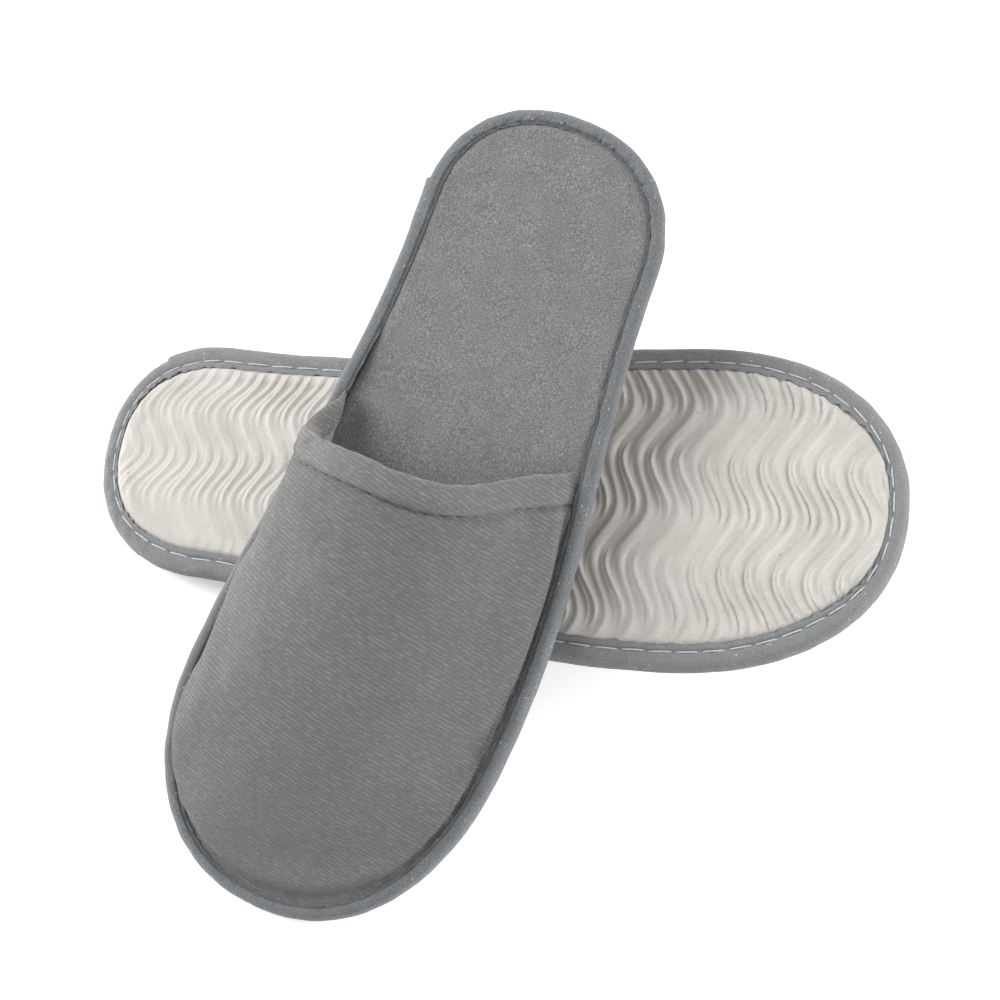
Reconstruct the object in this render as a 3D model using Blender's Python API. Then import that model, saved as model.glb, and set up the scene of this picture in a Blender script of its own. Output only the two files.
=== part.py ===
"""A pair of closed-toe spa slippers: one lies upside down and the other lies across it.

Each slipper is modelled in its own frame, in metres: +Y runs from the heel to the toe, +Z up
from the tread, and the origin is at the middle of the sole's underside. An empty then turns
and places each slipper. Stations along the sole are measured from the tip of the toe.
"""
import math

import bmesh
import bpy
from mathutils import Matrix, Vector

MM = 0.001

# Outline of the sole
LENGTH = 285 * MM
FOREFOOT_HALF = 56.8 * MM
HEEL_HALF = 42.5 * MM
TOE_ROUND = 74 * MM
HEEL_ROUND = 42 * MM
ROUND_POWER = 2.2
CENTRE_BOW = 5.1 * MM

# Layers of the sole, as heights above the tread
GAP = 0.3 * MM
OUTSOLE_TOP = 3.5 * MM
RIM_STEP = 2.1 * MM
CUSHION_TOP = 6.3 * MM
FOOTBED_TOP = 7.3 * MM
OUTSOLE_INSET = 2.6 * MM
CUSHION_INSET = 1.8 * MM
FOOTBED_INSET = 2.6 * MM

# Edge binding: one tape folded round the rim
TAPE = 0.7 * MM
TAPE_UNDERSIDE = 1.1 * MM
TAPE_TOP_WIDTH = 6.0 * MM
TAPE_UNDER_WIDTH = 8.2 * MM
TAPE_ROUND = 3.0 * MM
TAPE_RAMP = 18 * MM
TAIL_RISE = 1.2 * MM
TAIL_FADE = 16 * MM

# Upper: outer cloth, padding and lining, nested under one dome
FLANGE_TOP = 9.4 * MM
FLANGE_LOW = 7.9 * MM
FLANGE_INSET = 2.9 * MM
FOOT_INSET = 7.6 * MM
UPPER_DEPTH = 3.6 * MM
CLOTH = 0.8 * MM
LINING = 0.6 * MM
WING_LAP = 4 * MM
OPENING_MIDDLE = 152 * MM
OPENING_WING = 172.5 * MM
OPENING_SKEW = 1.5 * MM
ARCH_CURVE = 24.0
OUTER_CURVE = 2.3
TOE_CROWN = 22 * MM
SPINE_SHIFT = 5 * MM
DOME_POWER = 2.3
SIDE_SLOPE = 0.8
SIDE_SKEW = 0.25
FOOT_FADE = 0.08
LEAN_HEIGHT = 16 * MM

# Hem folded over the opening edge
HEM_WIDTH = 8 * MM
HEM_CLOTH = 0.6 * MM
HEM_SEAM = 0.9 * MM

# Sewing thread
THREAD_RADIUS = 0.2 * MM
THREAD_LIFT = 0.35 * MM
NEEDLE_INSET = 5.5 * MM
BOBBIN_INSET = 5.9 * MM

# How the two slippers lie
UNDER_YAW = -99.7
UNDER_PITCH = 12.0
UNDER_ROLL = 4.0
UNDER_CROWN = 42 * MM
UNDER_LEAN = 0.0
UNDER_TAIL = 268 * MM
UNDER_PLACE = (-1.1 * MM, 16.75 * MM)
OVER_YAW = 155.9
OVER_PITCH = -18.6
OVER_ROLL = 3.0
OVER_CROWN = 43 * MM
OVER_LEAN = 6.5 * MM
OVER_TAIL = 248 * MM
OVER_PLACE = (-22.6 * MM, 1.65 * MM)
FLOOR_CLEARANCE = 1.2 * MM
FLATTEN = 1.5 * MM

# Mesh density
RING_POINTS = 48
RING_STEP = 2 * math.pi / RING_POINTS
ACROSS_STEPS = 24
WING_SKIP = 3
PADDING_SHARES = (0.18, 0.38, 0.6, 0.82, 1.0)
CLOTH_SHARES = (0.0, 0.07) + PADDING_SHARES


def smooth(value):
    value = min(1.0, max(0.0, value))
    return value * value * (3 - 2 * value)


# ---------------------------------------------------------------- outline

def half_width(station):
    """Half the sole's width: superelliptic ends joined by a cosine ease."""
    heel_start = LENGTH - HEEL_ROUND
    if station < TOE_ROUND:
        reach = (TOE_ROUND - station) / TOE_ROUND
        return FOREFOOT_HALF * max(0.0, 1 - reach ** ROUND_POWER) ** (1 / ROUND_POWER)
    if station > heel_start:
        reach = (station - heel_start) / HEEL_ROUND
        return HEEL_HALF * max(0.0, 1 - reach ** ROUND_POWER) ** (1 / ROUND_POWER)
    ease = (1 + math.cos(math.pi * (station - TOE_ROUND) / (heel_start - TOE_ROUND))) / 2
    return HEEL_HALF + (FOREFOOT_HALF - HEEL_HALF) * ease


def centre(station):
    """Sideways place of the sole's middle line, which bows away from the arch."""
    return -CENTRE_BOW * math.sin(math.pi * station / LENGTH) ** 2


def turn_station(turn):
    """Station of a turn round the outline: 0 at the toe, pi at the heel."""
    return LENGTH / 2 * (1 - math.cos(turn))


def outline_point(turn):
    station = turn_station(turn)
    side = 1 if math.sin(turn) >= 0 else -1
    return Vector((centre(station) + side * half_width(station), LENGTH / 2 - station))


def rim_point(turn, inset, height):
    """A point set in from the outline, square to it."""
    nudge = 0.02
    along = (outline_point(turn + nudge) - outline_point(turn - nudge)).normalized()
    outward = Vector((-along.y, along.x))
    spot = outline_point(turn) - outward * inset
    return Vector((spot.x, spot.y, height))


# ---------------------------------------------------------------- object helpers

def material(name, colour, roughness):
    """An opaque, non-metallic finish; colour is linear red, green, blue."""
    finish = bpy.data.materials.new(name)
    finish.use_nodes = True
    shader = finish.node_tree.nodes["Principled BSDF"]
    shader.inputs["Base Color"].default_value = (*colour, 1)
    shader.inputs["Roughness"].default_value = roughness
    shader.inputs["Metallic"].default_value = 0
    return finish


def add_object(name, data, slipper):
    piece = bpy.data.objects.new(name, data)
    slipper["collection"].objects.link(piece)
    return piece


def finish_piece(piece, slipper, colour, roughness):
    """Gives the piece its material and fixes it to its slipper."""
    piece.data.materials.clear()
    piece.data.materials.append(material(piece.name, colour, roughness))
    piece.parent = slipper["empty"]
    return piece


def curve_to_mesh(piece, slipper):
    """Replaces a curve object by a welded mesh object of the same name and place."""
    bpy.context.view_layer.update()
    graph = bpy.context.evaluated_depsgraph_get()
    mesh = bpy.data.meshes.new_from_object(piece.evaluated_get(graph))
    shape = bmesh.new()
    shape.from_mesh(mesh)
    bmesh.ops.remove_doubles(shape, verts=shape.verts, dist=0.00001)
    bmesh.ops.recalc_face_normals(shape, faces=shape.faces)
    shape.to_mesh(mesh)
    shape.free()
    name = piece.name
    place = piece.matrix_world.copy()
    bpy.data.objects.remove(piece)
    solid = add_object(name, mesh, slipper)
    solid.matrix_world = place
    return solid


def grid_solid(name, rows, slipper, closed_rows):
    """A closed solid from rings of points, one ring a row, ends capped unless rows close up.

    A ring runs out along one face and back along the other, and both faces are split along
    matching diagonals, so that the wall between them stays even.
    """
    shape = bmesh.new()
    rings = [[shape.verts.new(point) for point in row] for row in rows]
    pairs = list(zip(rings, rings[1:]))
    if closed_rows:
        pairs.append((rings[-1], rings[0]))
    count = len(rings[0])
    half = count // 2
    for first, second in pairs:
        for index in range(count):
            following = (index + 1) % count
            near, ahead, across, side = first[index], first[following], second[following], second[index]
            if index < half:
                shape.faces.new((near, ahead, across))
                shape.faces.new((near, across, side))
            else:
                shape.faces.new((near, ahead, side))
                shape.faces.new((ahead, across, side))
    if not closed_rows:
        for ring in (rings[0], rings[-1]):
            for index in range(half - 1):
                mirror = count - 1 - index
                shape.faces.new((ring[index], ring[index + 1], ring[mirror - 1], ring[mirror]))
    bmesh.ops.recalc_face_normals(shape, faces=shape.faces)
    if shape.calc_volume(signed=True) < 0:
        bmesh.ops.reverse_faces(shape, faces=shape.faces)
    mesh = bpy.data.meshes.new(name)
    shape.to_mesh(mesh)
    shape.free()
    mesh.shade_smooth()
    mesh.set_sharp_from_angle(angle=math.radians(40))
    return add_object(name, mesh, slipper)


def flat_sheet(name, slipper, insets, low, high):
    """A flat layer with the sole's outline; a second inset cuts out its middle."""
    curve = bpy.data.curves.new(name, "CURVE")
    curve.dimensions = "2D"
    curve.fill_mode = "BOTH"
    curve.extrude = (high - low) / 2
    for inset in insets:
        spline = curve.splines.new("POLY")
        spline.points.add(RING_POINTS - 1)
        for index, point in enumerate(spline.points):
            spot = rim_point(RING_STEP * index, inset, 0)
            point.co = (spot.x, spot.y, 0, 1)
        spline.use_cyclic_u = True
    sheet = add_object(name, curve, slipper)
    sheet.location.z = (low + high) / 2
    return curve_to_mesh(sheet, slipper)


def thread(name, slipper, points, cyclic):
    """A sewing thread laid along points."""
    curve = bpy.data.curves.new(name, "CURVE")
    curve.dimensions = "3D"
    curve.bevel_depth = THREAD_RADIUS
    curve.bevel_resolution = 1
    curve.use_fill_caps = not cyclic
    spline = curve.splines.new("POLY")
    spline.points.add(len(points) - 1)
    for point, spot in zip(spline.points, points):
        point.co = (*spot, 1)
    spline.use_cyclic_u = cyclic
    return curve_to_mesh(add_object(name, curve, slipper), slipper)


# ---------------------------------------------------------------- edge binding

def tape_top(turn):
    """Height of the tape's top face: over the upper's flange in front, over the footbed behind."""
    wing_end = OPENING_WING + OPENING_SKEW + WING_LAP + 2 * MM
    ramp = smooth((turn_station(turn) - wing_end) / TAPE_RAMP)
    front = FLANGE_TOP + GAP + TAPE
    behind = FOOTBED_TOP + GAP + TAPE
    return front + (behind - front) * ramp


def tail_bulge(turn, slipper):
    """Extra thickness where the tape's end laps over its start, on the arch side."""
    ahead = slipper["tail"] - turn_station(turn)
    if math.sin(turn) <= 0 or ahead < 0:
        return 0.0
    return TAIL_RISE * math.exp(-ahead / TAIL_FADE)


def tape_section(turn, slipper):
    """The tape's C-shaped section at one turn: its outer face and back along its inner face."""
    top = tape_top(turn)
    middle = (top + TAPE_UNDERSIDE) / 2
    half = (top - TAPE_UNDERSIDE) / 2
    bulge = tail_bulge(turn, slipper)
    bends = [math.radians(angle) for angle in (90, 45, 0, -45, -90)]
    outer = [(TAPE_TOP_WIDTH, top)]
    inner = [(TAPE_TOP_WIDTH, top - TAPE)]
    for bend in bends:
        reach = TAPE_ROUND + bulge
        outer.append((TAPE_ROUND - reach * math.cos(bend), middle + half * math.sin(bend)))
        hollow = TAPE_ROUND - TAPE
        inner.append((TAPE_ROUND - hollow * math.cos(bend), middle + (half - TAPE) * math.sin(bend)))
    outer.append((TAPE_UNDER_WIDTH, TAPE_UNDERSIDE))
    inner.append((TAPE_UNDER_WIDTH, TAPE_UNDERSIDE + TAPE))
    return [rim_point(turn, inset, height) for inset, height in outer + inner[::-1]]


def tape_rings(slipper):
    return [tape_section(RING_STEP * index, slipper) for index in range(RING_POINTS)]


# ---------------------------------------------------------------- upper

def dome_height(spot, shrink, crown):
    """Height of the upper's dome over its own foot line, at a place in plan."""
    station = LENGTH / 2 - spot.y
    spine = centre(station) + SPINE_SHIFT
    half = half_width(max(station, TOE_ROUND)) - FOOT_INSET - shrink
    offset = spot.x - spine
    reach = half - SPINE_SHIFT if offset > 0 else half + SPINE_SHIFT
    sideways = offset / reach
    forward = max(0.0, TOE_ROUND - station) / (TOE_ROUND - FOOT_INSET - shrink)
    rho = (abs(sideways) ** ROUND_POWER + forward ** ROUND_POWER) ** (1 / ROUND_POWER)
    slope = SIDE_SLOPE - SIDE_SKEW * max(-1.0, min(1.0, sideways))
    rise = min(1.0, station / OPENING_MIDDLE) ** 1.3
    height = TOE_CROWN + (crown - TOE_CROWN) * rise
    return height * max(0.0, 1 - rho ** DOME_POWER) ** slope


def opening_spot(across, shrink):
    """The opening edge in plan, from the arch side's wing to the other one."""
    side = math.cos(math.pi * across)
    wing = OPENING_WING - OPENING_SKEW * side
    curve = ARCH_CURVE if side > 0 else OUTER_CURVE
    station = OPENING_MIDDLE + (wing - OPENING_MIDDLE) * abs(side) ** curve
    half = half_width(station) - FOOT_INSET - shrink
    return Vector((centre(station) + side * half, LENGTH / 2 - station, 0))


def wing_turn(across):
    """The turn on the sole's outline where a line of the upper starts."""
    side = 1 if across < 0.5 else -1
    station = OPENING_WING - OPENING_SKEW * side + WING_LAP
    return math.acos(1 - 2 * station / LENGTH) * (1 - 2 * across)


def rest_on_floor(spot, depth, slipper):
    """Keeps the upside-down slipper's dome above the floor, with a soft bend."""
    turned = slipper["matrix"].to_3x3()[2]
    clearance = FLOOR_CLEARANCE + depth
    level = slipper["matrix"][2][3] - clearance
    limit = -(level + turned[0] * spot.x + turned[1] * spot.y) / turned[2]
    excess = (spot.z - limit) / FLATTEN
    if excess > -20:
        spot.z -= FLATTEN * math.log(1 + math.exp(excess))
    return spot


def skin_point(slipper, across, rise, shrink):
    """A point on the upper's outermost face, or on its innermost face when shrunk."""
    foot = rim_point(wing_turn(across), FOOT_INSET + shrink, 0)
    spot = foot.lerp(opening_spot(across, shrink), rise)
    inner = shrink / UPPER_DEPTH
    base = FLANGE_TOP + (FLANGE_LOW - FLANGE_TOP) * inner
    crown = slipper["crown"] - inner * (UPPER_DEPTH - FLANGE_TOP + FLANGE_LOW)
    height = dome_height(spot, shrink, crown) * smooth(rise / FOOT_FADE)
    spot.z = base + height
    spot.x += slipper["lean"] * smooth(height / LEAN_HEIGHT)
    if slipper["on_floor"]:
        rest_on_floor(spot, shrink, slipper)
    return spot


def upper_point(slipper, across, rise, depth):
    """A point of the upper at a depth below its outer face; depth may run past either face."""
    outside = skin_point(slipper, across, rise, 0)
    inside = skin_point(slipper, across, rise, UPPER_DEPTH)
    return outside.lerp(inside, depth / UPPER_DEPTH)


def flange_point(across, depth):
    """The upper's outer edge, which the binding holds down on the sole's rim."""
    height = FLANGE_TOP + (FLANGE_LOW - FLANGE_TOP) * depth / UPPER_DEPTH
    return rim_point(wing_turn(across), FLANGE_INSET, height)


def line_length(slipper, across):
    """Length of the upper's outer face from its foot to the opening edge."""
    spots = [upper_point(slipper, across, step / 12, 0) for step in range(13)]
    return sum((after - before).length for before, after in zip(spots, spots[1:]))


def rise_at(slipper, across, back):
    """The rise of a place at a distance back from the opening edge."""
    return max(0.02, 1 - back / line_length(slipper, across))


def cloth_layer(name, slipper, shares, near, far, whole):
    """One layer of the upper, between two depths.

    The rows are shares of the way from the foot to the hem's lower edge. A whole layer also has
    the flange and runs under the hem; the padding has neither and stops short of the wings.
    """
    rows = []
    skip = 0 if whole else WING_SKIP
    for step in range(skip, ACROSS_STEPS + 1 - skip):
        across = step / ACROSS_STEPS
        rises = [share * rise_at(slipper, across, HEM_WIDTH) for share in shares]
        if whole:
            rises += [rise_at(slipper, across, HEM_WIDTH / 2), 1.0]
        front = [upper_point(slipper, across, rise, near) for rise in rises]
        back = [upper_point(slipper, across, rise, far) for rise in rises]
        if whole:
            front.insert(0, flange_point(across, near))
            back.insert(0, flange_point(across, far))
        rows.append(front + back[::-1])
    return grid_solid(name, rows, slipper, closed_rows=False)


def hem_point(slipper, across, back, depth):
    return upper_point(slipper, across, rise_at(slipper, across, back), depth)


def hem_solid(name, slipper):
    """A strip folded over the opening edge: a C that clasps all three layers."""
    outer_face = -GAP - HEM_CLOTH
    inner_face = UPPER_DEPTH + GAP + HEM_CLOTH
    middle = UPPER_DEPTH / 2
    outer = [(HEM_WIDTH, outer_face), (HEM_WIDTH / 2, outer_face), (0.3 * MM, outer_face)]
    outer += [(-1.1 * MM, 0.1 * MM), (-1.5 * MM, middle), (-1.1 * MM, UPPER_DEPTH - 0.1 * MM)]
    outer += [(0.3 * MM, inner_face), (HEM_WIDTH / 2, inner_face), (HEM_WIDTH, inner_face)]
    inner = [(HEM_WIDTH, -GAP), (HEM_WIDTH / 2, -GAP), (0.2 * MM, -GAP)]
    inner += [(-0.5 * MM, 0.5 * MM), (-0.8 * MM, middle), (-0.5 * MM, UPPER_DEPTH - 0.5 * MM)]
    inner += [(0.2 * MM, UPPER_DEPTH + GAP), (HEM_WIDTH / 2, UPPER_DEPTH + GAP)]
    inner += [(HEM_WIDTH, UPPER_DEPTH + GAP)]
    rows = []
    for step in range(ACROSS_STEPS + 1):
        across = step / ACROSS_STEPS
        rows.append([hem_point(slipper, across, *place) for place in outer + inner[::-1]])
    return grid_solid(name, rows, slipper, closed_rows=False)


# ---------------------------------------------------------------- one slipper

def build_outsole(slipper):
    plate = flat_sheet(slipper["name"] + "_outsole", slipper, [OUTSOLE_INSET], 0, OUTSOLE_TOP)
    ring = [-2 * MM, TAPE_UNDER_WIDTH + GAP]
    cutter = flat_sheet(slipper["name"] + "_rim_cutter", slipper, ring, -1 * MM, RIM_STEP)
    slipper["collection"].objects.unlink(cutter)
    slipper["cutters"].objects.link(cutter)
    cutter.parent = slipper["empty"]
    cutter.hide_render = True
    cutter.display_type = "WIRE"
    cut = plate.modifiers.new("rim", "BOOLEAN")
    cut.operation = "DIFFERENCE"
    cut.solver = "EXACT"
    cut.object = cutter
    finish_piece(plate, slipper, (0.63, 0.60, 0.565), 0.75)


def build_sole(slipper):
    name = slipper["name"]
    build_outsole(slipper)
    low = OUTSOLE_TOP + GAP
    cushion = flat_sheet(name + "_cushion_foam", slipper, [CUSHION_INSET], low, CUSHION_TOP)
    finish_piece(cushion, slipper, (0.72, 0.71, 0.69), 0.9)
    low = CUSHION_TOP + GAP
    footbed = flat_sheet(name + "_footbed", slipper, [FOOTBED_INSET], low, FOOTBED_TOP)
    finish_piece(footbed, slipper, (0.254, 0.25, 0.246), 0.95)


def build_upper(slipper):
    name = slipper["name"]
    cloth = cloth_layer(name + "_vamp_cloth", slipper, CLOTH_SHARES, 0, CLOTH, True)
    finish_piece(cloth, slipper, (0.205, 0.202, 0.2), 0.95)
    near = CLOTH + GAP
    far = UPPER_DEPTH - LINING - GAP
    padding = cloth_layer(name + "_vamp_padding", slipper, PADDING_SHARES, near, far, False)
    finish_piece(padding, slipper, (0.78, 0.77, 0.75), 0.95)
    near = UPPER_DEPTH - LINING
    lining = cloth_layer(name + "_vamp_lining", slipper, CLOTH_SHARES, near, UPPER_DEPTH, True)
    finish_piece(lining, slipper, (0.2, 0.2, 0.2), 0.95)
    hem = hem_solid(name + "_opening_hem", slipper)
    finish_piece(hem, slipper, (0.23, 0.227, 0.225), 0.95)


def build_threads(slipper):
    name = slipper["name"]
    turns = [RING_STEP * index for index in range(RING_POINTS)]
    above = [rim_point(turn, NEEDLE_INSET, tape_top(turn) + THREAD_LIFT) for turn in turns]
    needle = thread(name + "_needle_thread", slipper, above, cyclic=True)
    finish_piece(needle, slipper, (0.09, 0.1, 0.105), 0.7)
    below = [rim_point(turn, BOBBIN_INSET, TAPE_UNDERSIDE - THREAD_LIFT) for turn in turns]
    bobbin = thread(name + "_bobbin_thread", slipper, below, cyclic=True)
    finish_piece(bobbin, slipper, (0.68, 0.69, 0.7), 0.6)
    seam = []
    for step in range(1, ACROSS_STEPS):
        across = step / ACROSS_STEPS
        seam.append(hem_point(slipper, across, HEM_WIDTH + HEM_SEAM, -THREAD_LIFT))
    hem_thread = thread(name + "_hem_thread", slipper, seam, cyclic=False)
    finish_piece(hem_thread, slipper, (0.07, 0.07, 0.072), 0.7)


def build_slipper(slipper):
    """Sole, binding, upper and sewing threads of one slipper."""
    build_sole(slipper)
    binding = grid_solid(slipper["name"] + "_edge_binding", tape_rings(slipper), slipper, True)
    finish_piece(binding, slipper, (0.225, 0.24, 0.248), 0.9)
    build_upper(slipper)
    build_threads(slipper)


def turned(yaw, pitch, roll, upside_down):
    turn = Matrix.Rotation(math.radians(yaw), 4, "Z")
    turn = turn @ Matrix.Rotation(math.radians(pitch), 4, "X")
    turn = turn @ Matrix.Rotation(math.radians(roll), 4, "Y")
    if upside_down:
        turn = turn @ Matrix.Rotation(math.pi, 4, "Y")
    return turn


def stand(slipper, turn, place):
    """Lifts a turned slipper until its binding just touches the floor."""
    points = [point for ring in tape_rings(slipper) for point in ring]
    lowest = min((turn @ point).z for point in points)
    slipper["matrix"] = Matrix.Translation((place[0], place[1], -lowest)) @ turn
    slipper["empty"].matrix_world = slipper["matrix"]


def new_slipper(name, crown, lean, tail, on_floor, parts, cutters):
    empty = bpy.data.objects.new(name + "_slipper", None)
    parts.objects.link(empty)
    slipper = {"name": name, "crown": crown, "lean": lean, "tail": tail}
    slipper.update(on_floor=on_floor, empty=empty, collection=parts, cutters=cutters)
    return slipper


def main():
    for thing in list(bpy.data.objects):
        bpy.data.objects.remove(thing)
    parts = bpy.data.collections.new("spa_slippers")
    cutters = bpy.data.collections.new("cutters")
    for collection in (parts, cutters):
        bpy.context.scene.collection.children.link(collection)
    under = new_slipper("under", UNDER_CROWN, UNDER_LEAN, UNDER_TAIL, True, parts, cutters)
    stand(under, turned(UNDER_YAW, UNDER_PITCH, UNDER_ROLL, True), UNDER_PLACE)
    build_slipper(under)
    over = new_slipper("over", OVER_CROWN, OVER_LEAN, OVER_TAIL, False, parts, cutters)
    stand(over, turned(OVER_YAW, OVER_PITCH, OVER_ROLL, False), OVER_PLACE)
    build_slipper(over)


main()
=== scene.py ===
"""Looks for a pair of spa slippers: one stands across the back of the other, which lies face down.

Each slipper is built in millimetres in its own frame (+Y heel to toe, +X arch side, +Z up from the
tread, origin at mid-length on the underside) and then turned and moved to where its CAD nodes are.
A station is a distance back from the toe tip; a turn goes round the outline, 0 at the toe.
"""
import math

import bpy
import numpy as np
from mathutils import Matrix, Vector


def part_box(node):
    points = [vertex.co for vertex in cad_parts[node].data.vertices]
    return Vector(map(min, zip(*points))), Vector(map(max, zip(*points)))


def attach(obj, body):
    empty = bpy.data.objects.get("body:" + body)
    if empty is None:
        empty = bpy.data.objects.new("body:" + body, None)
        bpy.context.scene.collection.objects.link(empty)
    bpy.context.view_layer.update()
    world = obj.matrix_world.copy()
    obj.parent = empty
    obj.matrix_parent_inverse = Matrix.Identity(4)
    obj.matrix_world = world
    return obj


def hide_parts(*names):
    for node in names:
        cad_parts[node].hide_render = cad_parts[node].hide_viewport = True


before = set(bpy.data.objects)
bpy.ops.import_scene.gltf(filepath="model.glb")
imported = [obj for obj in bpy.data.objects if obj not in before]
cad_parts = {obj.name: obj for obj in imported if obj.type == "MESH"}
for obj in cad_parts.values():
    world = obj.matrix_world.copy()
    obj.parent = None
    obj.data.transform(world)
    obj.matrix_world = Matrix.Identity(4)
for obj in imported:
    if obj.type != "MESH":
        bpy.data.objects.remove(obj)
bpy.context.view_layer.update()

MM = 0.001
TURN = 2 * math.pi

# ---- sizes, in millimetres
# The CAD's, but for the tape's upper band, 0.4 narrower, its seam, 0.6 nearer the edge, and the
# upper's foot, 0.5 nearer the edge, steeper, and tucked in at both wings.
LENGTH = 285.0
FOREFOOT_HALF = 56.8
HEEL_HALF = 42.5
TOE_ROUND = 74.0
HEEL_ROUND = 42.0
ROUND_POWER = 2.2
CENTRE_BOW = 5.1

GAP = 0.3
OUTSOLE_TOP = 3.5
OUTSOLE_INSET = 2.6
RIM_STEP = 2.1
CUSHION_TOP = 6.3
FOOTBED_TOP = 7.3
FOOTBED_INSET = 2.6
TAPE = 0.7
TAPE_UNDERSIDE = 1.1
TAPE_TOP_WIDTH = 5.6
TAPE_ROUND = 3.0
TAPE_RAMP = 18.0
TAIL_RISE = 1.2
TAIL_FADE = 16.0

FLANGE_TOP = 9.4
FLANGE_LOW = 7.9
FLANGE_INSET = 2.9
FOOT_INSET = 7.1
UPPER_DEPTH = 3.6
LINING = 0.6
WING_LAP = 4.0
WING_TAPER = 0.09
WING_TUCK = 0.06
TUCK_OUT = 3.4
TUCK_DOWN = 1.4
OPENING_MIDDLE = 152.0
OPENING_WING = 172.5
OPENING_SKEW = 1.5
ARCH_CURVE = 24.0
OUTER_CURVE = 2.3
TOE_CROWN = 22.0
SPINE_SHIFT = 5.0
DOME_POWER = 2.3
SIDE_SLOPE = 0.8
SIDE_SKEW = 0.25
FOOT_FADE = 0.035
LEAN_HEIGHT = 16.0
FLOOR_CLEARANCE = 1.2
FLATTEN = 1.5
HEM_WIDTH = 8.0
HEM_SEAM = 9.1
HEM_CLOTH = 0.6
FOOTBED_CORNERS = 48
UNDER_HEM = 5.0
SHORTEST_LINE = 11.0
ARCH_WALL = 0.27

NEEDLE_LINE = 4.9
NEEDLE_GROOVE = 0.55
STITCH_PITCH = 9.3
NEEDLE_GAP = 3.2
NEEDLE_RADIUS = 0.23
BOBBIN_GAP = 1.1
THREAD_RADIUS = 0.27
HEM_STITCH_PITCH = 5.4
HEM_STITCH = 3.6
UNDER_SEAM = 20.0

# ---- grids, in places
SWEEP_PLACES = 7201
TREAD_GRID = (150, 600)
FOOTBED_GRID = (150, 380)
SLAB_BACK = 7
TAPE_TURNS = 760
TAPE_TOP, TAPE_SIDE, TAPE_LOW = 12, 17, 14
VAMP_LINES, VAMP_STEPS, VAMP_INNER = 300, 170, 40
LINING_LINES, LINING_STEPS = 160, 90
HEM_LINES = 520
HEM_TOP, HEM_ROUND, HEM_LOW = 20, 11, 12
STITCH_RINGS, STITCH_SIDES = 9, 8

# ---- cloth simulation
SIM_ROWS = 76
SIM_COLUMNS = 46
SIM_FRAMES = 20
SIM_CAP = 2.2
SIM_SMOOTHING = 14

# ---- studio, in metres and watts
FLOOR_HALF = 9.0
FLOOR_DROP = 0.0001
LENS, SENSOR = 80.9, 36.0
EYE = (0.00343, -0.24887, 0.75779)
LOOK_AT = (0.00343, 0.01161, 0.030)
LIT_AT = (0, 0, 0.03)
SKY = 0.52
LIGHTS = (
    ("key", (-1.2, 0.55, 0.8), 1.0, 34),
    ("fill", (1.3, 0.0, 0.5), 0.9, 20),
    ("front", (0.6, -0.9, 0.8), 1.0, 3),
)


def smooth(value):
    value = np.clip(value, 0, 1)
    return value * value * (3 - 2 * value)


def bump(value, width):
    return np.exp(-((value / width) ** 2))


def waves(seed, coords, shortest, longest, count=26):
    """Smooth noise of about unit size: plane waves with seeded directions, lengths and phases."""
    source = np.random.default_rng(seed)
    total = 0.0
    for _ in range(count):
        way = source.normal(size=len(coords))
        way /= np.linalg.norm(way)
        length = shortest * (longest / shortest) ** source.random()
        phase = TURN * source.random()
        ahead = sum(w * c for w, c in zip(way, coords))
        total = total + np.cos(TURN * ahead / length + phase)
    return total * math.sqrt(2 / count)


def ring_waves(seed, turn, lowest, highest, count=18):
    """Smooth noise round the outline that closes on itself."""
    source = np.random.default_rng(seed)
    total = 0.0
    for _ in range(count):
        cycles = int(source.integers(lowest, highest))
        total = total + np.cos(cycles * turn + TURN * source.random())
    return total * math.sqrt(2 / count)


# ---- outline of the sole

def half_width(station):
    """Half the sole's width."""
    station = np.asarray(station, float)
    heel_start = LENGTH - HEEL_ROUND
    toe = np.clip((TOE_ROUND - station) / TOE_ROUND, 0, 1)
    heel = np.clip((station - heel_start) / HEEL_ROUND, 0, 1)
    span = np.clip((station - TOE_ROUND) / (heel_start - TOE_ROUND), 0, 1)
    ease = (1 + np.cos(math.pi * span)) / 2
    middle = HEEL_HALF + (FOREFOOT_HALF - HEEL_HALF) * ease
    front = FOREFOOT_HALF * (1 - toe ** ROUND_POWER) ** (1 / ROUND_POWER)
    back = HEEL_HALF * (1 - heel ** ROUND_POWER) ** (1 / ROUND_POWER)
    return np.where(station < TOE_ROUND, front, np.where(station > heel_start, back, middle))


def centre(station):
    return -CENTRE_BOW * np.sin(math.pi * np.clip(station, 0, LENGTH) / LENGTH) ** 2


def turn_station(turn):
    return LENGTH / 2 * (1 - np.cos(turn))


def outline(turn):
    station = turn_station(turn)
    side = np.where(np.sin(turn) >= 0, 1, -1)
    return centre(station) + side * half_width(station), LENGTH / 2 - station


def rim(turn, inset):
    """Plan place at a distance in from the outline, square to it."""
    nudge = 0.02
    ahead = outline(turn + nudge)
    behind = outline(turn - nudge)
    along_x = ahead[0] - behind[0]
    along_y = ahead[1] - behind[1]
    size = np.hypot(along_x, along_y)
    x, y = outline(turn)
    return x + along_y / size * inset, y - along_x / size * inset


def sweep():
    """Turns and lengths along the outline, from 0 to 2 pi."""
    turn = np.linspace(0, TURN, SWEEP_PLACES)
    x, y = outline(turn)
    length = np.concatenate([[0], np.cumsum(np.hypot(np.diff(x), np.diff(y)))])
    return turn, length


SWEEP_TURN, SWEEP_LENGTH = sweep()
PERIMETER = SWEEP_LENGTH[-1]


def even_turns(count):
    """Turns of places evenly spaced round the outline."""
    return np.interp(np.arange(count) / count * PERIMETER, SWEEP_LENGTH, SWEEP_TURN)


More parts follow.
